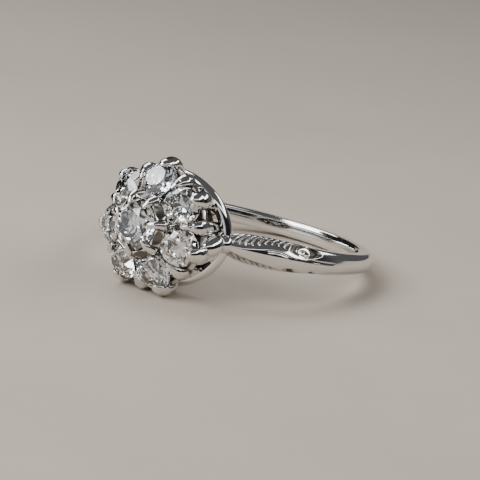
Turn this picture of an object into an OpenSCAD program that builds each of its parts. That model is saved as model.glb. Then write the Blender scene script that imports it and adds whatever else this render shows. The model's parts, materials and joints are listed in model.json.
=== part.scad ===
// Cluster ring: seven round stones round a raised centre stone, held by a fluted head
// of rounded claws on a draped gallery wire, with carved scroll shoulders on a plain band.
// The ring lies on its side: two claws of the head and the back of the band touch z = 0.
// The head points to -X and the finger goes through near +Z.

/* [Band] */
// Inner diameter of the band, where the finger goes in
finger_d = 17; // [15:0.5:21]
// Width of the band at the back, along the finger
band_w = 1.3; // [1.1:0.1:2]
// Thickness of the band at the back
band_t = 1.3; // [1.1:0.1:1.8]
// Radius of the band's rounded edges
band_edge = 0.45; // [0.2:0.05:0.5]

/* [Shoulders] */
// Length of a carved shoulder along the outside of the band
shoulder_l = 8.8; // [7:0.2:11]
// Widest width of a shoulder's base
shoulder_w = 2.3; // [2:0.1:2.6]
// Thickness of a shoulder's base at its bevelled edges
base_t = 0.55; // [0.4:0.05:0.8]
// Widest width of the smooth leaf along a shoulder
leaf_w = 1.5; // [1.3:0.1:1.8]
// Height by which the middle of the leaf is crowned above its edges
leaf_crown = 0.16; // [0.1:0.02:0.3]
// Radius of the largest scroll on a bevel
scroll_r = 0.46; // [0.36:0.02:0.5]
// Thickness of the scrolls
scroll_t = 0.24; // [0.18:0.02:0.3]
// Diameter of the collar between a shoulder and the head
collar_d = 1.8; // [1.6:0.1:2.1]
// Thickness of the collar along the band
collar_t = 0.5; // [0.4:0.05:0.8]

/* [Head] */
// Length of the gallery wire's oval across the finger, along its middle
gallery_l = 8.9; // [8:0.1:9.6]
// Width of the gallery wire's oval along the finger, along its middle
gallery_w = 7.8; // [7.4:0.1:8.4]
// Thickness of the gallery wire
gallery_t = 0.96; // [0.6:0.02:1.1]
// Height of the outer stones' girdles above the finger hole
cluster_rise = 3; // [2.6:0.1:3.6]
// Height of the centre stone's girdle above the outer stones' girdles
centre_rise = 1.45; // [1.3:0.05:1.8]
// Diameter of a claw's round tip
claw_d = 1.3; // [1.1:0.05:1.4]
// Diameter of the flute below a claw, near its top
flute_d = 1.8; // [1.6:0.05:1.9]
// Diameter of the slimmer flute between two claws, near its top
between_d = 1.3; // [1:0.05:1.4]
// Diameter of a claw of the centre stone
centre_claw_d = 0.5; // [0.4:0.02:0.7]
// Diameter of all flutes at the gallery wire
flute_foot_d = 1.2; // [0.8:0.05:1.4]

/* [Stones] */
// Number of outer stones
outer_count = 7; // [7:1:8]
// Diameter of an outer stone
outer_stone_d = 2.9; // [2.5:0.1:3.1]
// Diameter of the centre stone
centre_stone_d = 3.8; // [3.4:0.1:4]
// Gap between the girdles of neighbouring outer stones
stone_gap = 0.12; // [0.1:0.02:0.3]
// Lean of the outer stones away from the centre
stone_lean = 28; // [20:1:32]
// Clearance between a stone and its seat
seat_gap = 0.05; // [0.03:0.01:0.08]

/* [Hidden] */
$fn = 48;

// Radii of the band
finger_r = finger_d / 2;
band_r = finger_r + band_t;

// Proportions of an old round cut, as shares of its radius, and its girdle's thickness
CUT_TABLE = 0.56;
CUT_STAR = 0.78;
CUT_CROWN = 0.35;
CUT_PAVILION = 0.86;
CUT_LOWER = 0.42;
CUT_CULET = 0.1;
girdle_t = 0.08;

// Layout of the head: distance from its axis and height from the middle of the finger hole
pitch = 360 / outer_count;
outer_r = outer_stone_d / 2;
centre_r = centre_stone_d / 2;
cluster_r = (outer_stone_d + stone_gap) / (2 * sin(pitch / 2));
cluster_h = finger_r + cluster_rise;
centre_h = cluster_h + centre_rise;
claw_r = claw_d / 2;
claw_place = [cluster_r + outer_r * cos(stone_lean), cluster_h - outer_r * sin(stone_lean)];
flute_r = flute_d / 2;
between_r = between_d / 2;
foot_r = flute_foot_d / 2;
gallery_r = gallery_t / 2;
// How far a flute's dome lies inside and below the claw's tip
flute_set = [0.48, 0.52];
flute_top = claw_place - flute_set;
// How far a slimmer flute's dome lies inside the claws' tips and below the girdles
between_set = [0.65, 0.45];
between_top = [claw_place[0] - between_set[0], cluster_h - between_set[1]];
// How far the flutes' feet lie inside the gallery wire's middle
foot_inset = 0.5;
// How much wider a flute's dome is than the flute
DOME = 1.03;
// Depth to which joined metal pieces run into each other
sink = 0.1;
// Sides of the gallery wire's oval
OVAL_SIDES = 36;

// Places round the head, from the near shoulder (0) towards the finger's upper side (90)
function stone_angle(i) = -90 + (2 * i - 1) * pitch / 2;
function between_angle(i) = -90 + (i - 1) * pitch;

// Gallery wire: an oval seen from the head's axis, draped on the finger hole
function gallery_s(a) = gallery_l / 2 * cos(a);
function gallery_f(a) = gallery_w / 2 * sin(a);
function gallery_h(a) = sqrt(pow(finger_r + gallery_r, 2) - pow(gallery_s(a), 2));
function gallery_point(a) = [gallery_s(a), gallery_f(a), gallery_h(a)];

// Shoulders: angles round the band, from the head's direction
collar_clear = 0.05;
collar_r = finger_r + collar_d / 2 + collar_clear;
// How far the collar's middle stands outside the gallery wire's middle
collar_out = 0.28;
collar_angle = asin((gallery_l / 2 + collar_out) / collar_r);
shoulder_end = collar_angle + shoulder_l / band_r * 180 / PI;
shoulder_mid = (collar_angle + shoulder_end) / 2;

// Resting pose: the lean at which the head's lowest pair and the band's back touch one plane.
// low is how far a ball of radius r lies below the head's axis, and h its height along it.
function lean_on(low, h, r) =
    let (a = h + band_r - band_edge, b = low - band_w / 2 + band_edge)
        atan2(b, a) + asin((r - band_edge) / norm([a, b]));
low_turn = cos(pitch / 2);
rest_lean = max(
    lean_on(claw_place[0] * low_turn, claw_place[1], claw_r),
    lean_on(flute_top[0] * low_turn, flute_top[1], flute_r * DOME),
    lean_on(gallery_w / 2 + gallery_r, finger_r, 0));
rest_lift = (band_r - band_edge) * sin(rest_lean) + (band_w / 2 - band_edge) * cos(rest_lean) + band_edge;
table_h = centre_h + girdle_t / 2 + CUT_CROWN * centre_r;
head_reach = table_h * cos(rest_lean) + CUT_TABLE * centre_r * sin(rest_lean);
band_reach = (band_r - band_edge) * cos(rest_lean) + (band_w / 2 - band_edge) * sin(rest_lean) + band_edge;

module rest_pose() {
    translate([(head_reach - band_reach) / 2, 0, rest_lift]) rotate([0, rest_lean, 0]) children();
}

// Head frame: Z along the head's axis, X to the near shoulder, Y along the finger
module head_frame() {
    rotate([0, -90, 0]) rotate([0, 0, -90]) children();
}

// Shank frame at an angle from the head: X outwards, Y along the band, Z along the finger
module shank_frame(angle) {
    rotate([0, 0, 180 + angle]) children();
}

module both_shoulders() {
    children();
    mirror([0, 1, 0]) children();
}

function arc(centre, r, from, to, steps) =
    [for (i = [0:steps]) let (a = from + (to - from) * i / steps) centre + r * [cos(a), sin(a)]];

// Straight bar along Z from a foot of radius r0 to a slightly wider dome
module flute(length, r0, r1) {
    cylinder(h = length, r1 = r0, r2 = r1);
    translate([0, 0, length]) sphere(r1 * DOME);
}

// Puts a bar's Z axis on the line between two points
module between_points(p, q) {
    d = q - p;
    translate(p) rotate([0, acos(d[2] / norm(d)), atan2(d[1], d[0])]) children();
}

// Round cut stone with its girdle at z = 0: table, stars, kites, girdle, pavilion and culet
module cut_stone(r) {
    function ring(count, radius, z, turn) =
        [for (i = [0:count - 1]) let (a = 360 / count * i + turn) [radius * cos(a), radius * sin(a), z]];
    half = cos(22.5);
    crown = CUT_CROWN * r;
    pavilion = CUT_PAVILION * r;
    g = girdle_t / 2;
    star_z = g + crown * (1 - CUT_STAR * half) / (1 - CUT_TABLE);
    lower_z = -g - pavilion * (1 - CUT_LOWER * half);
    culet_z = -g - pavilion * (1 - CUT_CULET * half);
    points = concat(
        ring(8, CUT_TABLE * r, g + crown, 0), ring(8, CUT_STAR * r, star_z, 22.5),
        ring(16, r, g, 0), ring(16, r, -g, 0),
        ring(8, CUT_LOWER * r, lower_z, 22.5), ring(8, CUT_CULET * r, culet_z, 22.5));
    T = 0;
    M = 8;
    G = 16;
    B = 32;
    L = 48;
    C = 56;
    faces = concat(
        [[for (i = [0:7]) T + i]],
        [for (i = [0:7]) [T + i, M + i, T + (i + 1) % 8]],
        [for (i = [0:7]) [T + i, M + (i + 7) % 8, G + 2 * i, M + i]],
        [for (i = [0:7]) [M + i, G + 2 * i, G + 2 * i + 1]],
        [for (i = [0:7]) [M + i, G + 2 * i + 1, G + (2 * i + 2) % 16]],
        [for (j = [0:15]) [G + j, B + j, B + (j + 1) % 16, G + (j + 1) % 16]],
        [for (i = [0:7]) [L + i, B + 2 * i + 1, B + 2 * i]],
        [for (i = [0:7]) [L + i, B + (2 * i + 2) % 16, B + 2 * i + 1]],
        [for (i = [0:7]) [B + 2 * i, L + (i + 7) % 8, C + (i + 7) % 8, C + i, L + i]],
        [[for (i = [7:-1:0]) C + i]]);
    polyhedron(points, [for (face = faces) [for (i = [len(face) - 1:-1:0]) face[i]]]);
}

// Space that a stone of radius r needs in the metal, with a light hole below it
// whose radius is a share of the stone's
module stone_seat(r) {
    HOLE = 0.42;
    deep = 3 * r;
    g = girdle_t / 2 + seat_gap;
    wide = r + seat_gap;
    rotate_extrude() polygon([
        [0, -g - CUT_PAVILION * wide], [wide, -g], [wide, g],
        [CUT_TABLE * r + seat_gap, g + CUT_CROWN * r], [0, g + CUT_CROWN * r]]);
    translate([0, 0, -deep]) cylinder(h = deep - g - CUT_PAVILION * r * (1 - HOLE), r = HOLE * r);
}

module at_centre_stone() {
    head_frame() translate([0, 0, centre_h]) children();
}

module at_outer_stone(i) {
    head_frame() rotate([0, 0, stone_angle(i)]) translate([cluster_r, 0, cluster_h])
        rotate([0, stone_lean, 0]) children();
}

module band() {
    e = band_edge;
    w = band_w / 2;
    inner = 0.12;
    profile = concat(
        arc([band_r - e, w - e], e, 0, 90, 4), arc([finger_r + inner, w - inner], inner, 90, 180, 2),
        arc([finger_r + inner, inner - w], inner, 180, 270, 2), arc([band_r - e, e - w], e, 270, 360, 4));
    span = 360 - 2 * collar_angle;
    shank_frame(collar_angle) rotate_extrude(angle = span, $fn = 120) polygon(profile);
}

// Half width of a shoulder's base and of its leaf, as shares of their widest values,
// at a share of the way from the collar to the plain band
BASE_ROWS = [
    [0, 0.62], [0.12, 0.86], [0.32, 1], [0.6, 0.97], [0.72, 0.9], [0.8, 0.72], [0.9, 0.62], [1, 0.52]];
LEAF_ROWS = [
    [0, 0.5], [0.08, 0.45], [0.18, 0.66], [0.34, 1], [0.46, 0.94], [0.54, 0.62], [0.56, 0.42],
    [0.6, 0.66], [0.68, 0.84], [0.74, 0.74], [0.77, 0.5], [0.82, 0.78], [0.9, 0.7], [1, 0.1]];

function shank_along(share) =
    band_r * sin(collar_angle + (shoulder_end - collar_angle) * share - shoulder_mid);

module shank_plate(rows, half) {
    upper = [for (row = rows) [shank_along(row[0]), half * row[1]]];
    lower = [for (i = [len(rows) - 1:-1:0]) [shank_along(rows[i][0]), -half * rows[i][1]]];
    shank_frame(shoulder_mid) rotate([90, 0, 90]) linear_extrude(1.2 * band_r) polygon(concat(upper, lower));
}

module shoulder_base() {
    BEVEL_IN = 0.45;
    bevel_rise = 0.45;
    w = shoulder_w / 2;
    edge = w + sink;
    in = finger_r - sink;
    low = finger_r + base_t;
    top = low + bevel_rise;
    intersection() {
        shank_plate(BASE_ROWS, w);
        rotate_extrude($fn = 120) polygon([
            [in, -edge], [low, -edge], [top, -w * BEVEL_IN], [top, w * BEVEL_IN], [low, edge], [in, edge]]);
    }
}

module shoulder_leaf() {
    proud = 0.05;
    w = leaf_w / 2 + sink;
    in = finger_r - sink;
    crown_r = (w * w + leaf_crown * leaf_crown) / (2 * leaf_crown);
    half = asin(w / crown_r);
    crown = arc([band_r + proud - crown_r, 0], crown_r, -half, half, 6);
    intersection() {
        shank_plate(LEAF_ROWS, leaf_w / 2);
        rotate_extrude($fn = 120) polygon(concat([[in, w], [in, -w]], crown));
    }
}

// Scrolls along a bevel: share along the shoulder and size as a share of the largest
SCROLL_ROWS = [[0.1, 0.66], [0.22, 0.8], [0.36, 0.86], [0.5, 0.8], [0.67, 1]];

// Raised curl with an eye in its middle
module scroll(r) {
    EYE = 1.1;
    t = scroll_t / 2;
    rotate_extrude() translate([r - t, 0]) circle(t, $fn = 16);
    sphere(t * EYE, $fn = 16);
}

module shoulder_scrolls() {
    BEVEL = 42;
    INSIDE = 0.75;
    rise = 0.16;
    for (row = SCROLL_ROWS, side = [-1, 1]) {
        r = scroll_r * row[1];
        shank_frame(collar_angle + (shoulder_end - collar_angle) * row[0])
            translate([finger_r + base_t + rise, 0, side * (shoulder_w / 2 - r * INSIDE)])
            rotate([side * -BEVEL, 0, 0]) rotate([0, 90, 0]) scroll(r);
    }
}

module collar() {
    r = collar_d / 2;
    t = collar_t / 2;
    shank_frame(collar_angle) translate([collar_r, 0, 0]) rotate([90, 0, 0])
        rotate_extrude() polygon(concat([[0, -t], [r - t, -t]], arc([r - t, 0], t, -90, 90, 6), [[0, t]]));
}

// Bud that carries the head from the collar to the nearest claw's flute
module shoulder_bud() {
    FOOT = 0.72;
    TOP = 0.86;
    TURN = 0.6;
    below = 0.5;
    short = 0.7;
    r = collar_d / 2;
    claw = stone_angle(2);
    foot = collar_r * [sin(collar_angle), 0, cos(collar_angle)];
    top = [flute_top[0] * cos(claw), flute_top[0] * sin(claw) * TURN, flute_top[1] - below];
    head_frame() between_points(foot, top) flute(norm(top - foot) - short, r * FOOT, r * TOP);
}

// Oval seen along the head's axis, grown by a margin all round
function oval(margin) =
    [for (k = [0:OVAL_SIDES - 1]) let (a = 360 * k / OVAL_SIDES)
        [(gallery_l / 2 + margin) * cos(a), (gallery_w / 2 + margin) * sin(a)]];

module gallery_wire() {
    intersection() {
        head_frame() linear_extrude(2 * finger_r) difference() {
            polygon(oval(gallery_r));
            polygon(oval(-gallery_r));
        }
        difference() {
            cylinder(h = 2 * finger_r, r = finger_r + gallery_t, center = true, $fn = 120);
            cylinder(h = 3 * finger_r, r = finger_r - sink, center = true, $fn = 120);
        }
    }
}

// One flute of the head, from inside the gallery wire up to a point in the plane at angle a
module head_flute(a, top, r) {
    foot = gallery_point(a);
    reach = norm([foot[0], foot[1]]) - foot_inset;
    p = [reach * cos(a), reach * sin(a), foot[2] - sink];
    q = [top[0] * cos(a), top[0] * sin(a), top[1]];
    between_points(p, q) flute(norm(q - p), foot_r, r);
}

module fluted_head() {
    head_frame() for (i = [1:outer_count]) {
        a = stone_angle(i);
        head_flute(a, flute_top, flute_r);
        head_flute(between_angle(i), between_top, between_r);
        rotate([0, 0, a]) translate([claw_place[0], 0, claw_place[1]]) sphere(claw_r);
    }
}

// Dished plate below the outer stones, which joins the flutes and the centre's collet
module stone_plate() {
    INNER = 0.6;
    inset = 0.2;
    thick = 1.1;
    rise = 0.5;
    bevel = [0.6, 0.2];
    in = centre_r * INNER;
    out = claw_place[0] - inset;
    low = claw_place[1] - thick;
    head_frame() rotate_extrude() polygon([
        [in, cluster_h + rise - thick], [out - bevel[0], low], [out, low + bevel[1]],
        [out, claw_place[1] - sink], [in, cluster_h + rise]]);
}

// Collet of the centre stone: a cone scooped out towards each outer stone, with a claw between scoops
module centre_collet() {
    NARROW = 0.8;
    FOOT = 1.7;
    wall = 0.2;
    below = 0.12;
    depth = 0.6;
    low = cluster_h - depth;
    high = centre_h - below;
    wide = centre_r + wall;
    claw = centre_claw_d / 2;
    claw_out = 0.3;
    claw_down = 0.65;
    tip_in = 0.1;
    tip_up = 0.22;
    from = [centre_r + claw_out, 0, centre_h - claw_down];
    tip = [centre_r - tip_in, 0, centre_h + tip_up];
    head_frame() {
        difference() {
            translate([0, 0, low]) cylinder(h = high - low, r1 = centre_r * NARROW, r2 = wide);
            for (i = [1:outer_count]) rotate([0, 0, stone_angle(i)]) translate([wide, 0, high]) scoop();
        }
        for (i = [1:outer_count]) rotate([0, 0, between_angle(i)])
            between_points(from, tip) flute(norm(tip - from), claw * FOOT, claw);
    }
}

// Hollow that runs down and inwards from the collet's rim
module scoop() {
    out = 0.42;
    up = 0.05;
    length = 1.7;
    wide = 0.8;
    narrow = 0.3;
    lean = 15;
    translate([out, 0, up]) rotate([0, 180 + lean, 0]) cylinder(h = length, r1 = wide, r2 = narrow);
}

module ring_mount() {
    color("silver") rest_pose() difference() {
        union() {
            band();
            both_shoulders() {
                shoulder_base();
                shoulder_leaf();
                shoulder_scrolls();
                collar();
                shoulder_bud();
            }
            gallery_wire();
            fluted_head();
            stone_plate();
            centre_collet();
        }
        cylinder(h = 4 * finger_r, r = finger_r, center = true, $fn = 120);
        at_centre_stone() stone_seat(centre_r);
        for (i = [1:outer_count]) at_outer_stone(i) stone_seat(outer_r);
    }
}

module centre_stone() {
    color("lightcyan") rest_pose() at_centre_stone() cut_stone(centre_r);
}

module outer_stone(i) {
    color("azure") rest_pose() at_outer_stone(i) cut_stone(outer_r);
}

ring_mount();
centre_stone();
for (i = [1:outer_count]) outer_stone(i);
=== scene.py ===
"""Looks of the cluster ring: polished cast metal, carved shoulders and cut stones, lying on a pale floor."""

import json
import math

import bpy
import numpy as np
from mathutils import Matrix, Vector


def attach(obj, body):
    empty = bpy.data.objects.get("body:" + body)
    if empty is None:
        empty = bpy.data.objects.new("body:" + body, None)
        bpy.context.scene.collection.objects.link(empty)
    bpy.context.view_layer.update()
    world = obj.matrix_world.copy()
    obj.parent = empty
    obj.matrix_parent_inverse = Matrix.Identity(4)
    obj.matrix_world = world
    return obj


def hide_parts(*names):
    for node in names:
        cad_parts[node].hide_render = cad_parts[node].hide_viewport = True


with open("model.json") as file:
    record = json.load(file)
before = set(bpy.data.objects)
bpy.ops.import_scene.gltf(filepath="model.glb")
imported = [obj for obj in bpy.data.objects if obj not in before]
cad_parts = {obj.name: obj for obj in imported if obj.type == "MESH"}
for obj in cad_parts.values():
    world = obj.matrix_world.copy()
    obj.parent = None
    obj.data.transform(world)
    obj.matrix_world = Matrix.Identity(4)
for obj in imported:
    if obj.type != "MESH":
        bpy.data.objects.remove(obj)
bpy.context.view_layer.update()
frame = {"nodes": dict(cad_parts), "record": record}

# Ring frame, in mm: the head points to -X, the near shoulder to -Y, the finger goes along Z
hole = next(m for m in frame["record"]["mounts"] if m["name"] == "finger_hole")
FINGER_R = hole["dims"]["r_mm"]
LEAN = math.atan2(hole["axis"][0], hole["axis"][2])
RING_TO_WORLD = Matrix.Translation(hole["pos_m"]) @ Matrix.Rotation(LEAN, 4, "Y") @ Matrix.Scale(0.001, 4)

# Stones, in mm and degrees, as the solids have them
OUTER_COUNT = 7
OUTER_R = 1.45
CENTRE_R = 1.9
STONE_GAP = 0.12
STONE_LEAN = math.radians(28)
CLUSTER_RISE = 3
CENTRE_RISE = 1.45
GIRDLE_HALF = 0.04
CLUSTER_H = FINGER_R + CLUSTER_RISE
CENTRE_H = CLUSTER_H + CENTRE_RISE
PITCH = 2 * math.pi / OUTER_COUNT
CLUSTER_R = (2 * OUTER_R + STONE_GAP) / (2 * math.sin(PITCH / 2))
# Shares of a stone's radius: table, crown, pavilion and the light hole below it
TABLE, CROWN, PAVILION = 0.56, 0.35, 0.86
LIGHT_HOLE = 0.42
# Room between a stone and its metal
SEAT_GAP = 0.04

# Gallery wire, an oval draped on the finger hole: half its length and width, and the wire's radius
GALLERY_S = 4.45
GALLERY_F = 3.95
GALLERY_R = 0.47

# Claws. A broad one: place outwards from a stone's middle and along its axis, radius and sideways stretch,
# then its belly. A slim one: distance from the head's axis, height, radius and stretch
BROAD_CLAW = [(0.76, 0.48, 0.18, 1.0), (1.1, 0.32, 0.38, 1.2), (1.36, -0.08, 0.5, 1.3)]
BROAD_BELLY = (4.64, 10.1)
SLIM_CLAW = [(3.58, 11.66, 0.16, 1.0), (3.92, 11.25, 0.33, 1.2), (4.3, 10.5, 0.46, 1.3)]
# Top of the cup of flutes, as distance out and height, and how far inside it their wall stands
CUP_TOP = (4.95, 10.4)
WALL_INSET = 1.0

# Band and shoulders
BAND_T = 1.3
BAND_R = FINGER_R + BAND_T
COLLAR_ANGLE = 27.4
COLLAR_R = 9.5


def stone_angle(i):
    """Angle of outer stone i, 1 to 7, from the near shoulder towards the finger's upper side."""
    return -math.pi / 2 + (2 * i - 1) * PITCH / 2


def between_angle(i):
    """Angle of the gap before outer stone i."""
    return -math.pi / 2 + (i - 1) * PITCH


def smoothstep(x):
    """Soft step from 0 to 1 as x goes from 0 to 1."""
    x = np.clip(x, 0, 1)
    return x * x * (3 - 2 * x)


def smooth_table(x, rows, column=1):
    """Smooth curve through a short table whose first column is x."""
    rows = np.array(rows, float)
    xs, ys = rows[:, 0], rows[:, column]
    slopes = np.gradient(ys, xs)
    k = np.clip(np.searchsorted(xs, x) - 1, 0, len(xs) - 2)
    step = xs[k + 1] - xs[k]
    t = np.clip((x - xs[k]) / step, 0, 1)
    start = (1 + 2 * t) * (1 - t) ** 2 * ys[k] + t * (1 - t) ** 2 * step * slopes[k]
    end = t * t * (3 - 2 * t) * ys[k + 1] - t * t * (1 - t) * step * slopes[k + 1]
    return start + end


# Meshes

def head_to_ring(points):
    """Head frame (near shoulder, finger, head axis) to ring frame."""
    s, f, h = points.T
    return np.stack([-h, -s, f], 1)


def make_piece(name, ring_points, faces, material, recess):
    """A smooth metal piece from points in the ring frame, with how deep in a recess each point lies, which
    the metal darkens as painted shade and some old dirt.
    """
    turn = np.array(RING_TO_WORLD.to_3x3())
    points = ring_points @ turn.T + np.array(RING_TO_WORLD.translation)
    mesh = bpy.data.meshes.new(name)
    mesh.from_pydata(points.tolist(), [], [list(f) for f in faces])
    mesh.update()
    mesh.validate()
    mesh.shade_smooth()
    # The recess values darken the metal as painted shade
    mesh.attributes.new("recess", "FLOAT", "POINT").data.foreach_set("value", recess.astype(np.float32))
    mesh.materials.append(material)
    piece = bpy.data.objects.new(name, mesh)
    bpy.context.scene.collection.objects.link(piece)
    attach(piece, "root")
    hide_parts("ring_mount")


# Solids as fields: signed distances on a grid, negative inside the metal

# Distance given to places that no shape is near, in mm
FAR = 9.0


def ball(centre, r):
    """Ball, as a bar with no length."""
    return rod(centre, centre, r, r)


def rod(p, q, r0, r1, side=None, stretch=(1.0, 1.0)):
    """Bar from p to q whose radius goes from r0 to r1, wider by two stretches along the side direction."""
    p, q = np.array(p, float), np.array(q, float)
    d = q - p
    length2 = max(float(d @ d), 1e-9)

    def distance(x, y, z):
        v = [x - p[0], y - p[1], z - p[2]]
        t = np.clip((v[0] * d[0] + v[1] * d[1] + v[2] * d[2]) / length2, 0, 1)
        v = [v[k] - t * d[k] for k in range(3)]
        square = v[0] ** 2 + v[1] ** 2 + v[2] ** 2
        if side is not None:
            across = v[0] * side[0] + v[1] * side[1] + v[2] * side[2]
            square = square - across ** 2 * (1 - 1 / (stretch[0] + t * (stretch[1] - stretch[0])) ** 2)
        return np.sqrt(np.maximum(square, 0)) - (r0 + t * (r1 - r0))

    reach = max(r0, r1) * max(*stretch, 1)
    return distance, np.minimum(p, q) - reach, np.maximum(p, q) + reach


def chain(joints, side):
    """Smoothly bent bar through joints of (place, radius, stretch along the side direction)."""
    PARTS = 5
    rows = np.array([[*place, r, wide] for place, r, wide in joints])
    step = np.linspace(0, 1, len(rows))
    fine = np.linspace(0, 1, PARTS * (len(rows) - 1) + 1)
    rows = np.stack([smooth_table(fine, np.stack([step, rows[:, k]], 1)) for k in range(5)], 1)
    bars = [rod(p[:3], q[:3], p[3], q[3], side, (p[4], q[4])) for p, q in zip(rows, rows[1:])]

    def distance(x, y, z):
        return np.minimum.reduce([bar[0](x, y, z) for bar in bars])

    return distance, np.min([bar[1] for bar in bars], 0), np.max([bar[2] for bar in bars], 0)


def smooth_least(old, new, blend):
    """The lesser of two distances, with a fillet where they are alike."""
    h = np.clip(0.5 + 0.5 * (old - new) / blend, 0, 1)
    return old * (1 - h) + new * h - blend * h * (1 - h)


def disc(centre, normal, r, half):
    """Round disc with a rounded rim."""
    centre, normal = np.array(centre, float), np.array(normal, float)
    normal = normal / np.linalg.norm(normal)

    def distance(x, y, z):
        v = [x - centre[0], y - centre[1], z - centre[2]]
        along = v[0] * normal[0] + v[1] * normal[1] + v[2] * normal[2]
        out = np.sqrt(np.maximum(v[0] ** 2 + v[1] ** 2 + v[2] ** 2 - along ** 2, 0))
        return np.hypot(np.maximum(out - (r - half), 0), along) - half

    return distance, centre - r, centre + r


def stone_seat(centre, axis, r):
    """The stone's own space and the light hole below it."""
    centre, axis = np.array(centre, float), np.array(axis, float)
    REACH = 2.2
    wide = r + SEAT_GAP
    girdle = GIRDLE_HALF + SEAT_GAP

    def distance(x, y, z):
        v = [x - centre[0], y - centre[1], z - centre[2]]
        up = v[0] * axis[0] + v[1] * axis[1] + v[2] * axis[2]
        out = np.sqrt(np.maximum(v[0] ** 2 + v[1] ** 2 + v[2] ** 2 - up ** 2, 0))
        crown = ((out - wide) * CROWN + (up - girdle) * (1 - TABLE)) / math.hypot(CROWN, 1 - TABLE)
        pavilion = ((out - wide) * PAVILION - (up + girdle)) / math.hypot(PAVILION, 1)
        stone = np.maximum(np.maximum(crown, pavilion), out - wide)
        light = np.maximum(out - LIGHT_HOLE * r, up)
        return np.minimum(stone, light)

    return distance, centre - REACH * r, centre + REACH * r


class Field:
    """Signed distances on a grid, and how much farther the second nearest shape is."""

    def __init__(self, low, high, step):
        self.low = np.array(low, float)
        self.step = step
        self.count = np.ceil((np.array(high, float) - self.low) / step).astype(int) + 1
        self.distance = np.full(self.count, FAR, np.float32)
        self.crease = np.full(self.count, FAR, np.float32)

    def window(self, low, high, pad):
        """The part of the grid round a box, and its places along each axis."""
        first = np.clip(np.floor((low - pad - self.low) / self.step).astype(int), 0, self.count)
        last = np.clip(np.ceil((high + pad - self.low) / self.step).astype(int) + 1, 0, self.count)
        axes = [self.low[k] + self.step * np.arange(first[k], last[k]) for k in range(3)]
        where = tuple(slice(first[k], last[k]) for k in range(3))
        return where, np.meshgrid(*axes, indexing="ij", sparse=True)

    def add(self, shape, blend):
        """Joins a shape with a fillet; crease keeps how much farther the second nearest shape is."""
        distance, low, high = shape
        where, axes = self.window(low, high, blend + 3 * self.step)
        new, old = distance(*axes), self.distance[where]
        crease = self.crease[where]
        self.crease[where] = np.where(new < old, old - new, np.minimum(crease, new - old))
        self.distance[where] = smooth_least(old, new, blend)

    def cut(self, shape, blend=0.03):
        """Takes a shape away, with a slightly rounded edge."""
        distance, low, high = shape
        where, axes = self.window(low, high, blend + 3 * self.step)
        self.distance[where] = -smooth_least(-self.distance[where], distance(*axes), blend)

    def surface(self):
        """Points, quads and crease distances of the field's zero surface."""
        d = self.distance
        inside = d < 0
        cells = self.count - 1
        owners, crossings, creases, rings, flips = [], [], [], [], []
        for axis in range(3):
            ahead = [slice(None)] * 3
            behind = [slice(None)] * 3
            ahead[axis], behind[axis] = slice(1, None), slice(None, -1)
            edges = np.argwhere(inside[tuple(ahead)] != inside[tuple(behind)])
            others = [k for k in range(3) if k != axis]
            kept = np.all((edges[:, others] > 0) & (edges[:, others] < cells[others]), axis=1)
            edges = edges[kept]
            step = np.eye(3, dtype=int)[axis]
            d0, d1 = d[tuple(edges.T)], d[tuple((edges + step).T)]
            point = edges + (d0 / (d0 - d1))[:, None] * step
            crease = self.crease[tuple(edges.T)]
            ring = []
            for b, c in ((0, 0), (1, 0), (1, 1), (0, 1)):
                cell = edges.copy()
                cell[:, others[0]] -= b
                cell[:, others[1]] -= c
                owner = np.ravel_multi_index(cell.T, cells)
                owners.append(owner)
                crossings.append(point)
                creases.append(crease)
                ring.append(owner)
            rings.append(np.stack(ring, 1))
            flips.append((d0 < 0) != (axis == 1))
        owners, crossings = np.concatenate(owners), np.concatenate(crossings)
        used, index = np.unique(owners, return_inverse=True)
        many = np.bincount(index)
        points = np.stack([np.bincount(index, crossings[:, k]) / many for k in range(3)], 1)
        crease = np.bincount(index, np.concatenate(creases)) / many
        quads = np.searchsorted(used, np.concatenate(rings))
        flip = np.concatenate(flips)
        quads[~flip] = quads[~flip][:, ::-1]
        return self.low + self.step * points, quads, crease


def relaxed(points, quads):
    """Evens out the grid's steps: points move half-way to their neighbours' middle, then back a bit more."""
    SHARE, BACK = 0.5, 1.03
    edges = np.concatenate([quads[:, [k, (k + 1) % 4]] for k in range(4)])
    edges = np.concatenate([edges, edges[:, ::-1]])
    start, end = edges.T
    many = np.bincount(start, minlength=len(points))[:, None]
    for weight in (SHARE, -SHARE * BACK):
        mean = np.stack([np.bincount(start, points[end, a], len(points)) for a in range(3)], 1) / many
        points = points + weight * (mean - points)
    return points


# The head

def gallery_h(s):
    """Height of the gallery wire's middle, which follows the finger hole."""
    return np.sqrt((FINGER_R + GALLERY_R) ** 2 - s ** 2)


def around(angle, out, h):
    """Place at an angle round the head's axis, a distance out and a height."""
    return np.array([out * math.cos(angle), out * math.sin(angle), h])


def outer_stone(i):
    """Centre and axis of outer stone i in the head frame."""
    a = stone_angle(i)
    lean = math.sin(STONE_LEAN)
    return around(a, CLUSTER_R, CLUSTER_H), around(a, lean, math.cos(STONE_LEAN))


def centre_stone():
    """Centre and axis of the centre stone in the head frame."""
    return np.array([0, 0, CENTRE_H]), np.array([0, 0, 1.0])


def foot(angle, inset):
    """Where a flute stands inside the gallery wire."""
    s, f = GALLERY_S * math.cos(angle), GALLERY_F * math.sin(angle)
    return around(angle, math.hypot(s, f) - inset, gallery_h(s))


def cup_line(points, inset, gap=0.0):
    """How far out and up points lie from the line between the gallery wire and the flutes' tops."""
    x, y, z = points
    out, angle = np.hypot(x, y), np.arctan2(y, x)
    s, f = GALLERY_S * np.cos(angle), GALLERY_F * np.sin(angle)
    low = [np.hypot(s, f) - inset, gallery_h(s) + gap]
    d = [CUP_TOP[0] - inset - low[0], CUP_TOP[1] - low[1]]
    t = np.clip(((out - low[0]) * d[0] + (z - low[1]) * d[1]) / (d[0] ** 2 + d[1] ** 2), 0, 1)
    return out - low[0] - t * d[0], z - low[1] - t * d[1]


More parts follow.
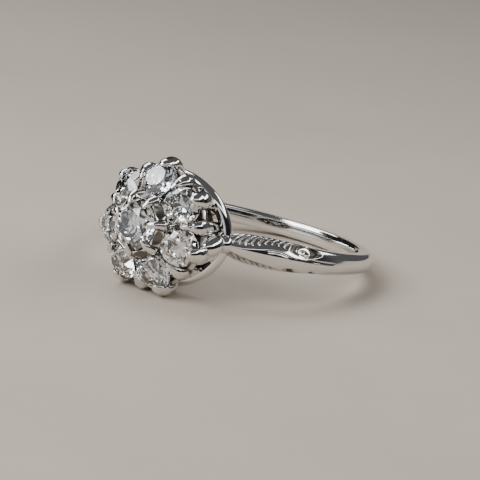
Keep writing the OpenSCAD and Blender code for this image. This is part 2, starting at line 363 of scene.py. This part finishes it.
def cup_wall(inset, gap, half):
    """Thin wall behind the flutes, from below the stones to a little above the gallery wire."""
    REACH, LOW, HIGH = 5, 7, 10.8

    def distance(x, y, z):
        return np.hypot(*cup_line((x, y, z), inset, gap)) - half

    return distance, np.array([-REACH, -REACH, LOW]), np.array([REACH, REACH, HIGH])


def dished_plate(inner, outer, half):
    """Cone-shaped plate below the outer stones, from (out, h) inner to outer."""
    d = np.subtract(outer, inner)

    def distance(x, y, z):
        out = np.hypot(x, y)
        t = np.clip(((out - inner[0]) * d[0] + (z - inner[1]) * d[1]) / (d @ d), 0, 1)
        return np.hypot(out - inner[0] - t * d[0], z - inner[1] - t * d[1]) - half

    reach = outer[0] + half
    return distance, np.array([-reach, -reach, outer[1] - half]), np.array([reach, reach, inner[1] + half])


def finger_space(low, high):
    """The finger hole, within a box in the head frame."""
    def distance(x, y, z):
        return np.hypot(x, z) - FINGER_R + 0 * y

    return distance, np.array(low, float), np.array(high, float)


def fluted_head(material):
    """Cup of flutes side by side; each ends as a pointed claw, over a stone or between two stones."""
    GRID, WALL_BLEND, FLUTE_BLEND = 0.065, 0.1, 0.06
    PLATE_INNER, PLATE_OUTER, PLATE_HALF = (1.5, 11.3), (4.2, 10.2), 0.34
    WALL_GAP, WALL_HALF = 0.35, 0.2
    FOOT_INSET = 0.75
    # Radius and sideways stretch
    BELLY_SIZE, BROAD_FOOT_SIZE, SLIM_FOOT_SIZE = (0.5, 1.35), (0.46, 1.35), (0.42, 1.3)
    # Painted shade and some old dirt lie in creases, and painted shade between the flutes up to a height; a
    # soft value is how gently it ends
    CREASE_SHADE, SHADE_INSET, SHADE_OUT, SHADE_OUT_SOFT = 0.2, 0.45, 0.1, 0.35
    SHADE_TOP, SHADE_TOP_SOFT = 11.1, 0.4
    low, high = [-5.7, -5.7, 7.2], [5.7, 5.7, 12.6]
    head = Field(low, high, GRID)
    head.add(dished_plate(PLATE_INNER, PLATE_OUTER, PLATE_HALF), WALL_BLEND)
    head.add(cup_wall(WALL_INSET, WALL_GAP, WALL_HALF), WALL_BLEND)
    for i in range(1, OUTER_COUNT + 1):
        a, b = stone_angle(i), between_angle(i)
        side_a, side_b = around(a + math.pi / 2, 1, 0), around(b + math.pi / 2, 1, 0)
        centre, axis = outer_stone(i)
        outwards = np.cross(side_a, axis)
        broad = [(centre + out * outwards + up * axis, r, wide) for out, up, r, wide in BROAD_CLAW]
        broad += [(around(a, *BROAD_BELLY), *BELLY_SIZE), (foot(a, FOOT_INSET), *BROAD_FOOT_SIZE)]
        slim = [(around(b, out, h), r, wide) for out, h, r, wide in SLIM_CLAW]
        slim += [(foot(b, FOOT_INSET), *SLIM_FOOT_SIZE)]
        head.add(chain(broad, side_a), FLUTE_BLEND)
        head.add(chain(slim, side_b), FLUTE_BLEND)
    for i in range(1, OUTER_COUNT + 1):
        head.cut(stone_seat(*outer_stone(i), OUTER_R))
    head.cut(stone_seat(*centre_stone(), CENTRE_R))
    head.cut(finger_space(low, high))
    points, quads, crease = head.surface()
    points = relaxed(points, quads)
    # Painted shade: dark in creases and deep between the flutes below a height, with some old dirt
    proud = cup_line(points.T, SHADE_INSET)[0]
    low_down = smoothstep((SHADE_TOP - points[:, 2]) / SHADE_TOP_SOFT)
    deep = smoothstep((SHADE_OUT - proud) / SHADE_OUT_SOFT) * low_down
    recess = np.maximum(1 - smoothstep(crease / CREASE_SHADE), deep)
    make_piece("fluted_head", head_to_ring(points), quads, material, recess)


def centre_collet(material):
    """Coronet of the centre stone: wedge claws with smooth hollows between them."""
    CONE_LOW, CONE_HIGH = (2.8, 11.3), (2.25, 12.94)
    SCOOP, SCOOP_R = (3.12, 13.3), 1.17
    CLAW = [(2.3, 12.5, 0.36, 1.1), (2.02, 13.0, 0.28, 1.1), (1.62, 13.26, 0.18, 1.0)]
    GRID, CONE_BLEND, BLEND = 0.05, 0.05, 0.08
    # Cosine of the cone wall's lean
    WALL_COS = 0.95
    # Painted shade and some old dirt: how wide in creases, then how strong and how wide the painted shade is
    # on the hollows
    CREASE_SHADE, HOLLOW_SHADE, HOLLOW_WIDTH = 0.15, 0.8, 0.08
    low, high = [-3.7, -3.7, 10.7], [3.7, 3.7, 13.6]
    collet = Field(low, high, GRID)

    def cone(x, y, z):
        """Distance to a solid cone that narrows upwards, the outside of the collet."""
        t = (z - CONE_LOW[1]) / (CONE_HIGH[1] - CONE_LOW[1])
        wall = (np.hypot(x, y) - CONE_LOW[0] - t * (CONE_HIGH[0] - CONE_LOW[0])) * WALL_COS
        return np.maximum(wall, np.maximum(z - CONE_HIGH[1], CONE_LOW[1] - z))

    collet.add((cone, np.array([-3, -3, 11.2]), np.array([3, 3, 13])), CONE_BLEND)
    scoops = [around(stone_angle(i), *SCOOP) for i in range(1, OUTER_COUNT + 1)]
    for scoop in scoops:
        collet.cut(ball(scoop, SCOOP_R), BLEND)
    for i in range(1, OUTER_COUNT + 1):
        b = between_angle(i)
        claw = [(around(b, out, h), r, wide) for out, h, r, wide in CLAW]
        collet.add(chain(claw, around(b + math.pi / 2, 1, 0)), BLEND)
    collet.cut(stone_seat(*centre_stone(), CENTRE_R))
    for i in range(1, OUTER_COUNT + 1):
        collet.cut(stone_seat(*outer_stone(i), OUTER_R))
    points, quads, crease = collet.surface()
    points = relaxed(points, quads)
    # Painted shade in the creases and on the hollows between the claws
    hollow = np.min([np.abs(np.linalg.norm(points - scoop, axis=1) - SCOOP_R) for scoop in scoops], 0)
    hollow_shade = HOLLOW_SHADE * (1 - smoothstep(hollow / HOLLOW_WIDTH))
    recess = np.maximum(1 - smoothstep(crease / CREASE_SHADE), hollow_shade)
    make_piece("centre_collet", head_to_ring(points), quads, material, recess)


def gallery_wire(material):
    """Round wire along the gallery's oval, with painted shade on its inner side."""
    ROUND, SIDES = 288, 24
    SHADE_FROM, SHADE_SOFT = 0.45, 0.3
    a = np.linspace(0, 2 * np.pi, ROUND, endpoint=False)
    line = np.stack([GALLERY_S * np.cos(a), GALLERY_F * np.sin(a), gallery_h(GALLERY_S * np.cos(a))], 1)
    ahead = np.roll(line, -1, 0) - np.roll(line, 1, 0)
    ahead /= np.linalg.norm(ahead, axis=1)[:, None]
    up = np.stack([line[:, 0], 0 * a, line[:, 2]], 1)
    up /= np.linalg.norm(up, axis=1)[:, None]
    out = np.cross(ahead, up)
    out /= np.linalg.norm(out, axis=1)[:, None]
    up = np.cross(out, ahead)
    turn = np.linspace(0, 2 * np.pi, SIDES, endpoint=False)
    across = np.cos(turn)[:, None] * out[:, None] + np.sin(turn)[:, None] * up[:, None]
    points = line[:, None] + GALLERY_R * across
    faces = tube_faces(ROUND, SIDES, closed=True)
    # Painted shade on the inner side of the wire, facing the flutes
    recess = np.tile(smoothstep((-np.cos(turn) - SHADE_FROM) / SHADE_SOFT), ROUND)
    make_piece("gallery_wire", head_to_ring(points.reshape(-1, 3)), faces, material, recess)


def tube_faces(rows, sides, closed):
    """Quads between neighbouring sections of a tube."""
    i, j = np.meshgrid(np.arange(rows if closed else rows - 1), np.arange(sides), indexing="ij")
    i2, j2 = (i + 1) % rows, (j + 1) % sides
    return np.stack([i * sides + j, i2 * sides + j, i2 * sides + j2, i * sides + j2], -1).reshape(-1, 4)


def shoulder_bud(name, mirror, material):
    """Collar, neck and bud between a shoulder and the head."""
    GRID, BLEND, CREASE_SHADE = 0.05, 0.05, 0.2
    COLLAR_RIM, COLLAR_HALF = 0.86, 0.12
    angle = math.radians(COLLAR_ANGLE)
    c = COLLAR_R * np.array([math.sin(angle), 0, math.cos(angle)])
    along = np.array([-math.cos(angle), 0, math.sin(angle)])
    low, high = [3.0, -1.5, 6.9], [6.3, 1.5, 10.9]
    bud = Field(low, high, GRID)
    neck = [(c - 0.5 * along, 0.66, 1.0), (c + 0.5 * along, 0.62, 1.0), ([4.55, -0.12, 8.9], 0.68, 1.0),
            ([4.44, -0.4, 9.5], 0.76, 1.0), ([4.4, -0.5, 9.75], 0.62, 1.0)]
    bud.add(chain([(np.array(place), r, wide) for place, r, wide in neck], np.array([0, 1.0, 0])), BLEND)
    bud.add(disc(c, along, COLLAR_RIM, COLLAR_HALF), BLEND)
    bud.cut(finger_space(low, high))
    points, quads, crease = bud.surface()
    points = relaxed(points, quads)
    ring = head_to_ring(points)
    if mirror:
        ring = ring * [1, -1, 1]
        quads = quads[:, ::-1]
    # Painted shade in the creases between collar, neck and bud
    make_piece(name, ring, quads, material, 1 - smoothstep(crease / CREASE_SHADE))


# Band and shoulders

# Half width of the metal at an angle from the head, in degrees and mm
WIDTH_ROWS = [(28, 0.7), (31, 0.8), (36, 0.99), (46, 1.14), (58, 1.13), (64, 1.09), (70, 1.01), (80, 0.92),
              (90, 0.85), (100, 0.8), (115, 0.72), (130, 0.68), (182, 0.65)]
# Edges of the smooth leaf: angle, then how far its upper and its lower edge are from the band's middle
LEAF_ROWS = [(28, 0.3, 0.42), (33, 0.3, 0.4), (38, 0.34, 0.58), (46, 0.57, 0.78), (50, 0.68, 0.84),
             (54, 0.72, 0.9), (57, 0.66, 0.99), (58.5, 0.6, 0.82), (61, 0.46, 0.74), (64, 0.32, 0.78),
             (67, 0.25, 0.86), (69.5, 0.22, 0.92), (71.3, 0.18, 0.72), (75, 0.16, 0.8), (79, 0.15, 0.82),
             (92, 0.15, 0.84)]
# Middle of the carved bevel: angle and distance from the middle of the band
BEVEL_ROWS = [(28, 0.52), (33, 0.66), (40, 0.8), (47, 0.9), (54, 0.92), (60, 0.84), (68, 0.7), (78, 0.66)]
# Volute: angle and distance from the middle of the band, half length, half width and ridge
VOLUTE_ANGLE, VOLUTE_OUT, VOLUTE_LENGTH, VOLUTE_WIDTH, VOLUTE_RIDGE = 65.6, 0.62, 0.84, 0.37, 0.15
# Radius at which lengths along a shoulder are measured
MID_R = 9.6


def volute_curve():
    """A scroll that leaves the leaf's edge and rolls up to an eye: places along and across the shoulder."""
    POINTS = 100
    START, TURNED, SHRINK, INSET = -110, 420, 0.75, 0.3
    t = np.linspace(0, 1, POINTS)
    turn = np.radians(TURNED * t + START)
    size = (1 - SHRINK * t) * (1 - INSET * VOLUTE_RIDGE / VOLUTE_WIDTH)
    along = np.radians(VOLUTE_ANGLE) * MID_R + VOLUTE_LENGTH * size * np.cos(turn)
    return along, VOLUTE_OUT + VOLUTE_WIDTH * size * np.sin(turn)


def scroll_relief(angles, f):
    """Height share of the raised leaf lobes and volute, for angles (rows) and places across."""
    VOLUTE_REACH = 9
    LOBE, LOBE_HALF, LOBE_CLIP, LOBE_SHARE = 0.5, 0.26, 1.3, 0.9
    LOBES_TO, LOBES_FADE = 59.5, 2
    SWEEP, SWEEP_BEND = 0.3, 0.35
    DIMPLE, DIMPLE_HALF = 0.35, 0.3
    u = np.radians(angles)[:, None] * MID_R + 0 * f
    side = np.abs(f)
    cu, cf = volute_curve()
    near = np.full(f.shape, FAR)
    rows = np.abs(angles - VOLUTE_ANGLE) < VOLUTE_REACH
    near[rows] = np.sqrt((u[rows][..., None] - cu) ** 2 + (side[rows][..., None] - cf) ** 2).min(-1)
    volute = round_ridge(near / VOLUTE_RIDGE)
    across = (side - smooth_table(angles, BEVEL_ROWS)[:, None]) / LOBE_HALF
    across = np.clip(across, -LOBE_CLIP, LOBE_CLIP)
    sweep = (u - SWEEP * (across + SWEEP_BEND * across ** 2)) / LOBE
    number = np.round(sweep)
    # The sines of a lobe's number make its width, its dimple's place and its height differ from the others'
    lobe = round_ridge((sweep - number) / (0.5 + 0.04 * np.sin(2.4 * number)))
    dimple = DIMPLE * smoothstep(1 - np.abs(across - 0.25 * np.sin(1.7 * number)) / DIMPLE_HALF)
    lobes = lobe * (0.85 + 0.15 * np.sin(3.1 * number + 1)) * (1 - dimple)
    lobes = lobes * (1 - smoothstep((angles[:, None] - LOBES_TO) / LOBES_FADE))
    return np.maximum(volute, LOBE_SHARE * lobes)


def round_ridge(x):
    """Half-round ridge of half width 1, whose softer part fades out between x = 0.6 and 1.6."""
    ROUND, SOFT, SOFT_END = 0.8, 0.2, 1.6
    return ROUND * np.sqrt(np.clip(1 - x ** 2, 0, 1)) + SOFT * smoothstep(SOFT_END - x)


def outer_face(angles, f, half):
    """Radius of the outer face, and how far each point lies in a recess, which sets its painted shade and
    old dirt.
    """
    # Plain band: rounded edge, crown, and a keel that fades out towards the back
    EDGE, ROUND, CROWNED = 0.42, 0.98, 0.04
    KEEL, KEEL_ROUND, KEEL_TO, KEEL_FADE = 0.2, 0.06, 95, 35
    # Bevelled ground: height of its rim, its rise, the share of the half width that rises, and its edge
    RIM, RISE, SLOPE, BEVEL_EDGE = 0.58, 0.42, 0.55, 0.1
    # How high the relief stands on the ground, and how far the ground lies below the bevel
    RELIEF, GROUND_DEPTH = 0.16, 0.05
    # Smooth leaf: crowned, with a step at its edge, a flank on its upper side and fine veins
    LEAF_PROUD, LEAF_CROWN, LEAF_HALF, LEAF_STEP = 0.06, 0.08, 0.75, 0.13
    FLANK, FLANK_SLOPE, FLANK_ROUND = 0.3, 0.3, 0.04
    VEINS, VEIN_HALF, VEIN_DEPTH, VEINS_FROM, VEINS_FADE = (0.36, 0.48), 0.045, 0.02, 47, 5
    # Where the carving gives way to the plain band: everywhere, and earlier in a curve above the leaf
    CARVED_TO, CARVED_FADE = 77, 8
    TIP, TIP_CURVE, TIP_MIDDLE, TIP_WIDTH, TIP_FADE = 73, 5, 0.66, 0.35, 3
    # Painted shade and some old dirt: clean strip along the edge, then place, narrowness and strength of the
    # painted shade line round the leaf
    CLEAN_EDGE, LINE_AT, LINE_NARROW, LINE_SHARE = 0.12, 0.25, 4, 0.7
    fold = np.minimum(angles, 360 - angles)
    w = half[:, None]
    side = np.abs(f)
    keel = KEEL * (np.hypot(side, KEEL_ROUND) - KEEL_ROUND)
    keel = keel * (1 - smoothstep((fold - KEEL_TO) / KEEL_FADE)[:, None])
    roll = np.clip((side - (w - EDGE)) / EDGE, 0, 1)
    plain = BAND_R - EDGE * (1 - np.sqrt(1 - ROUND * roll ** 2)) - CROWNED * (side / w) ** 2 - keel
    bevel = FINGER_R + RIM + RISE * np.clip((w - side) / (SLOPE * w), 0, 1)
    roll = np.clip((side - (w - BEVEL_EDGE)) / BEVEL_EDGE, 0, 1)
    bevel = bevel - BEVEL_EDGE * (1 - np.sqrt(1 - ROUND * roll ** 2))
    upper, lower = (smooth_table(fold, LEAF_ROWS, k)[:, None] for k in (1, 2))
    leaf_edge = np.where(f > 0, upper, lower)
    flank = np.clip(FLANK - (leaf_edge - side), 0, None) * (f > 0)
    leaf = BAND_R + LEAF_PROUD - LEAF_CROWN * (side / LEAF_HALF) ** 2
    leaf = leaf - FLANK_SLOPE * (np.hypot(flank, FLANK_ROUND) - FLANK_ROUND) - keel
    veins = sum(round_ridge((leaf_edge - side - place) / VEIN_HALF) for place in VEINS) * (f > 0)
    leaf = leaf - VEIN_DEPTH * veins * smoothstep((fold - VEINS_FROM) / VEINS_FADE)[:, None]
    on_leaf = smoothstep((leaf_edge - side) / LEAF_STEP + 0.5)
    relief = scroll_relief(fold, f)
    end = TIP - TIP_CURVE * ((side - TIP_MIDDLE) / TIP_WIDTH) ** 2
    plain_above = np.where(f > 0, smoothstep((fold[:, None] - end) / TIP_FADE), 0)
    ground = bevel - GROUND_DEPTH + RELIEF * relief
    ground = ground + (plain - ground) * plain_above
    shoulder = ground + (leaf - ground) * on_leaf
    carved = 1 - smoothstep((fold - CARVED_TO) / CARVED_FADE)[:, None]
    # Painted shade and some old dirt on the carved ground, and a painted shade line round the leaf
    recess = carved * (1 - plain_above) * (1 - on_leaf) * (1 - relief)
    recess = recess * smoothstep((w - side) / CLEAN_EDGE)
    crease = np.clip(1 - np.abs(on_leaf - LINE_AT) * LINE_NARROW, 0, 1) * carved * (1 - plain_above)
    return plain + (shoulder - plain) * carved, np.maximum(recess, LINE_SHARE * crease)


def band_and_shoulders(material):
    """The whole band swept round the finger hole, open where the head stands."""
    # Steps along the band in degrees, fine up to END, and points across each face
    FINE, COARSE, COLUMNS, SIDE, INNER = 0.24, 1.2, 72, 6, 16
    END, OVERLAP = 92, 1
    # Rounding and crown of the inner side, and how far the sides start below the outer edge
    ROUND_IN, CROWNED, SIDE_DROP = 0.14, 0.1, 0.05
    # Columns crowd towards the edges
    EVEN, CROWDED = 0.6, 0.4
    near = np.arange(COLLAR_ANGLE - OVERLAP, END, FINE)
    back = np.linspace(END, 360 - END, round((360 - 2 * END) / COARSE))
    angles = np.concatenate([near, back, 360 - near[::-1]])
    fold = np.minimum(angles, 360 - angles)
    half = smooth_table(fold, WIDTH_ROWS)
    even = np.linspace(-1, 1, COLUMNS)
    across = EVEN * even + CROWDED * np.sin(even * np.pi / 2)
    f = half[:, None] * across
    r, recess = outer_face(angles, f, half)
    turn = np.linspace(0, np.pi / 2, SIDE)
    # From the outer edge down the side, round the inner corner, across the finger's side and up again
    side_f = half[:, None] + 0 * turn[:2]
    side_r = np.stack([r[:, -1] - SIDE_DROP, np.full(len(r), FINGER_R + CROWNED + 2 * ROUND_IN)], 1)
    corner_f = half[:, None] - ROUND_IN * (1 - np.cos(turn))
    corner_r = FINGER_R + CROWNED + ROUND_IN * (1 - np.sin(turn)) + 0 * corner_f
    inner = np.linspace(1, -1, INNER + 2)[1:-1]
    inner_f = (half[:, None] - ROUND_IN) * inner
    inner_r = FINGER_R + CROWNED * (inner_f / half[:, None]) ** 2
    section_f = np.concatenate([f, side_f, corner_f, inner_f, -corner_f[:, ::-1], -side_f[:, ::-1]], 1)
    other_r = np.stack([side_r[:, 1], r[:, 0] - SIDE_DROP], 1)
    section_r = np.concatenate([r, side_r, corner_r, inner_r, corner_r[:, ::-1], other_r], 1)
    rows, sides = section_f.shape
    a = np.radians(angles)[:, None]
    ring = np.stack([-section_r * np.cos(a), -section_r * np.sin(a), section_f], -1).reshape(-1, 3)
    all_recess_shade_and_dirt = np.zeros((rows, sides))
    all_recess_shade_and_dirt[:, :COLUMNS] = recess
    faces = tube_faces(rows, sides, closed=False).tolist()
    faces += [list(range(sides)), list(range(rows * sides - 1, (rows - 1) * sides - 1, -1))]
    make_piece("band_and_shoulders", ring, faces, material, all_recess_shade_and_dirt.reshape(-1))


# Materials

def new_material(name):
    """A material with its node tree and main shader."""
    material = bpy.data.materials.new(name)
    material.use_nodes = True
    tree = material.node_tree
    return material, tree, tree.nodes["Principled BSDF"]


def noise(tree, scale, detail=3.0):
    """Noise over the object's own metres; scale is in bumps per metre."""
    where = tree.nodes.new("ShaderNodeTexCoord")
    node = tree.nodes.new("ShaderNodeTexNoise")
    tree.links.new(where.outputs["Object"], node.inputs["Vector"])
    node.inputs["Scale"].default_value = scale
    node.inputs["Detail"].default_value = detail
    return node.outputs["Fac"]


def spread(tree, value, low, high, to_low, to_high):
    """Value mapped from one range to another and held at its ends."""
    node = tree.nodes.new("ShaderNodeMapRange")
    tree.links.new(value, node.inputs["Value"])
    for name, number in zip(("From Min", "From Max", "To Min", "To Max"), (low, high, to_low, to_high)):
        node.inputs[name].default_value = number
    return node.outputs["Result"]


def mixed(tree, share, low, high):
    """Colour that goes from low to high with a share; low may be a colour or a socket."""
    node = tree.nodes.new("ShaderNodeMix")
    node.data_type = "RGBA"
    tree.links.new(share, node.inputs["Factor"])
    for socket, value in ((node.inputs["A"], low), (node.inputs["B"], high)):
        if isinstance(value, tuple):
            socket.default_value = (*value, 1)
        else:
            tree.links.new(value, socket)
    return node.outputs["Result"]


def platinum():
    """Polished white metal, hazed by wear, its recesses darkened by painted shade and some old dirt, which
    also roughens them.
    """
    NEW, WORN, SHADE_AND_DIRT = (0.84, 0.83, 0.81), (0.8, 0.785, 0.76), (0.09, 0.078, 0.065)
    TONE_SCALE, HAZE_SCALE, GRAIN_SCALE = 900, 2600, 5200
    SMOOTH, HAZY, DIRT_ROUGHNESS = 0.05, 0.13, 0.3
    GRAIN, GRAIN_DEPTH = 0.06, 0.00002
    material, tree, shader = new_material("polished_platinum")
    links = tree.links
    recess = tree.nodes.new("ShaderNodeAttribute")
    recess.attribute_name = "recess"
    # Painted shade and some old dirt darken the recesses in colour; the dirt also makes them rougher
    shade_and_dirt = spread(tree, recess.outputs["Fac"], 0.1, 0.9, 0, 1)
    tone = mixed(tree, spread(tree, noise(tree, TONE_SCALE), 0.35, 0.65, 0, 1), NEW, WORN)
    links.new(mixed(tree, shade_and_dirt, tone, SHADE_AND_DIRT), shader.inputs["Base Color"])
    haze = spread(tree, noise(tree, HAZE_SCALE, 5), 0.3, 0.75, SMOOTH, HAZY)
    add = tree.nodes.new("ShaderNodeMath")
    add.operation = "MULTIPLY_ADD"
    links.new(shade_and_dirt, add.inputs[0])
    add.inputs[1].default_value = DIRT_ROUGHNESS
    links.new(haze, add.inputs[2])
    links.new(add.outputs[0], shader.inputs["Roughness"])
    bump = tree.nodes.new("ShaderNodeBump")
    bump.inputs["Strength"].default_value = GRAIN
    bump.inputs["Distance"].default_value = GRAIN_DEPTH
    links.new(noise(tree, GRAIN_SCALE, 4), bump.inputs["Height"])
    links.new(bump.outputs["Normal"], shader.inputs["Normal"])
    shader.inputs["Metallic"].default_value = 1
    return material


def diamond(name, low, high):
    """Clear stone with a faint uneven tint."""
    material, tree, shader = new_material(name)
    tint = mixed(tree, spread(tree, noise(tree, 700), 0.35, 0.65, 0, 1), low, high)
    tree.links.new(tint, shader.inputs["Base Color"])
    shader.inputs["Transmission Weight"].default_value = 1
    shader.inputs["Roughness"].default_value = 0
    shader.inputs["IOR"].default_value = 2.42
    return material


def dress_stones():
    """Gives each cut stone of the solids a clear material, one of them a cooler one."""
    clear = diamond("clear_diamond", (1, 1, 0.99), (0.94, 0.95, 0.93))
    cool = diamond("cool_diamond", (0.95, 0.98, 1), (0.84, 0.9, 0.98))
    for name, node in frame["nodes"].items():
        if name.endswith("stone") or name.startswith("outer_stone"):
            material = cool if name == "outer_stone_4" else clear
            for slot in node.material_slots:
                slot.material = material


# Floor, light and camera

def floor():
    """Plain pale floor that darkens behind the ring, a painted shade."""
    PALE, UNEVEN, SHADE_FAR = (0.57, 0.495, 0.41), (0.52, 0.455, 0.38), (0.3, 0.265, 0.225)
    BACKWARDS, DARK_FROM, DARK_TO = (0.77, 0.64, 0), 0.015, 0.11
    HALF = 1.5
    mesh = bpy.data.meshes.new("floor")
    corners = [(-HALF, -HALF, 0), (HALF, -HALF, 0), (HALF, HALF, 0), (-HALF, HALF, 0)]
    mesh.from_pydata(corners, [], [(0, 1, 2, 3)])
    material, tree, shader = new_material("pale_floor")
    tone = mixed(tree, spread(tree, noise(tree, 60, 4), 0.3, 0.7, 0, 1), PALE, UNEVEN)
    where = tree.nodes.new("ShaderNodeTexCoord")
    along = tree.nodes.new("ShaderNodeVectorMath")
    along.operation = "DOT_PRODUCT"
    tree.links.new(where.outputs["Object"], along.inputs[0])
    along.inputs[1].default_value = BACKWARDS
    # Painted shade: the floor darkens further behind the ring
    away = spread(tree, along.outputs["Value"], DARK_FROM, DARK_TO, 0, 1)
    tree.links.new(mixed(tree, away, tone, SHADE_FAR), shader.inputs["Base Color"])
    shader.inputs["Roughness"].default_value = 0.75
    mesh.materials.append(material)
    piece = bpy.data.objects.new("floor", mesh)
    bpy.context.scene.collection.objects.link(piece)


def area_light(name, place, size, power, colour=(1, 1, 1)):
    """Soft box of a size and at a place in mm, aimed at the ring; its power is in watts."""
    TARGET = Vector((0, 0, 0.004))
    light = bpy.data.lights.new(name, "AREA")
    light.shape = "RECTANGLE"
    light.size, light.size_y = size[0] / 1000, size[1] / 1000
    light.energy = power
    light.color = colour
    lamp = bpy.data.objects.new(name, light)
    bpy.context.scene.collection.objects.link(lamp)
    lamp.location = Vector(place) / 1000
    lamp.rotation_euler = (TARGET - lamp.location).to_track_quat("-Z", "Y").to_euler()


def light_room():
    """A dark room with one bright side before the head, a window and soft boxes round the ring."""
    DARK, BRIGHT = (0.015, 0.015, 0.018), (0.95, 0.97, 1.0)
    BEHIND, CEILING = (0.09, 0.09, 0.1), (0.1, 0.1, 0.105)
    # Direction of the bright side, and where each tone starts and is full
    FORWARDS = (-0.99, 0.14, 0)
    BRIGHT_SPAN, BEHIND_SPAN, CEILING_SPAN = (0.66, 0.92), (-0.5, -0.8), (0.45, 0.8)
    world = bpy.data.worlds.new("room")
    bpy.context.scene.world = world
    world.use_nodes = True
    tree = world.node_tree
    where = tree.nodes.new("ShaderNodeTexCoord")
    split = tree.nodes.new("ShaderNodeSeparateXYZ")
    tree.links.new(where.outputs["Generated"], split.inputs["Vector"])
    toward = tree.nodes.new("ShaderNodeVectorMath")
    toward.operation = "DOT_PRODUCT"
    tree.links.new(where.outputs["Generated"], toward.inputs[0])
    toward.inputs[1].default_value = FORWARDS
    front = spread(tree, toward.outputs["Value"], *BRIGHT_SPAN, 0, 1)
    behind = spread(tree, toward.outputs["Value"], *BEHIND_SPAN, 0, 1)
    horizon = mixed(tree, front, DARK, BRIGHT)
    horizon = mixed(tree, behind, horizon, BEHIND)
    rise = spread(tree, split.outputs["Z"], *CEILING_SPAN, 0, 1)
    sky = mixed(tree, rise, horizon, CEILING)
    tree.links.new(sky, tree.nodes["Background"].inputs["Color"])
    tree.nodes["Background"].inputs["Strength"].default_value = 1
    area_light("window", (-199, 115, 193), (220, 170), 0.85, (0.97, 0.985, 1))
    area_light("back_box", (50, 186, 230), (200, 150), 0.4)
    area_light("side_strip", (158, -158, 201), (400, 60), 0.35)
    area_light("near_strip", (-95, -215, 180), (340, 45), 0.1)


def camera():
    """The photograph's view of the ring, in its frame of 480 pixels."""
    # Angles in degrees, distance in mm, pixels per mm at the ring, and the place of its centre in pixels
    TURN, RISE, ROLL = 39.9, 16.9, 5.8
    DISTANCE = 239.8
    SCALE = 13.14
    MIDDLE = (246.4, 232.1)
    FRAME = 480
    SENSOR = 36
    turn, rise = math.radians(TURN), math.radians(RISE)
    away = Vector((-math.cos(turn) * math.cos(rise), -math.sin(turn) * math.cos(rise), math.sin(rise)))
    data = bpy.data.cameras.new("camera")
    data.sensor_width = SENSOR
    data.lens = SCALE * DISTANCE / FRAME * SENSOR
    data.shift_x = (FRAME / 2 - MIDDLE[0]) / FRAME
    data.shift_y = (MIDDLE[1] - FRAME / 2) / FRAME
    data.clip_start, data.clip_end = 0.01, 10
    view = bpy.data.objects.new("camera", data)
    bpy.context.scene.collection.objects.link(view)
    aim = away.to_track_quat("Z", "Y").to_matrix().to_4x4() @ Matrix.Rotation(math.radians(ROLL), 4, "Z")
    view.matrix_world = Matrix.Translation(Vector(hole["pos_m"]) + away * DISTANCE / 1000) @ aim
    bpy.context.scene.camera = view


camera()
metal = platinum()
band_and_shoulders(metal)
gallery_wire(metal)
fluted_head(metal)
centre_collet(metal)
shoulder_bud("near_bud", False, metal)
shoulder_bud("far_bud", True, metal)
dress_stones()
floor()
light_room()
